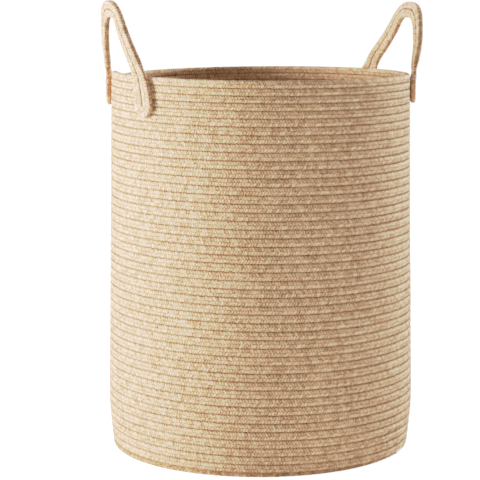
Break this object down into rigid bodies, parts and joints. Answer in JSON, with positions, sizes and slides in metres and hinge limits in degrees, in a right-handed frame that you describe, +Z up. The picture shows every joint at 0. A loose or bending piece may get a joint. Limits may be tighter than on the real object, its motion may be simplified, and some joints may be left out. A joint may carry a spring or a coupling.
{
  "type": "laundry hamper",
  "caption": "Tall round open laundry hamper coiled from braided natural rope and zigzag-sewn, with rope loop handles sewn outside the rim.",
  "frame": {"origin": "centre of the underside, on the floor", "axes": "+Z up along the basket's axis; the handles are on +X and -X; -Y is the front"},
  "size_m": [0.4322, 0.409, 0.5981],
  "materials": {
    "coiled_rope": "matte",
    "handle_rope": "matte",
    "sewing_thread": "matte"
  },
  "bodies": {
    "basket": {"base_coil": "coiled_rope", "base_stitching": "sewing_thread", "wall_coil": "coiled_rope", "wall_stitching": "sewing_thread", "left_front_sewn_end": "handle_rope", "left_front_end_stitching": "sewing_thread", "left_back_sewn_end": "handle_rope", "left_back_end_stitching": "sewing_thread", "right_front_sewn_end": "handle_rope", "right_front_end_stitching": "sewing_thread", "right_back_sewn_end": "handle_rope", "right_back_end_stitching": "sewing_thread"},
    "left_handle": {"left_handle_outer_rope": "handle_rope", "left_handle_inner_rope": "handle_rope", "left_handle_seam_stitching": "sewing_thread"},
    "right_handle": {"right_handle_outer_rope": "handle_rope", "right_handle_inner_rope": "handle_rope", "right_handle_seam_stitching": "sewing_thread"}
  },
  "joints": [
    {"name": "left_handle_swing", "type": "hinge", "parent": "basket", "child": "left_handle", "pos_m": [-0.18818, 0, 0.505], "axis": [0, -1, 0], "range_deg": [-103, 82]},
    {"name": "right_handle_swing", "type": "hinge", "parent": "basket", "child": "right_handle", "pos_m": [0.18818, 0, 0.505], "axis": [0, 1, 0], "range_deg": [-107, 78]}
  ]
}
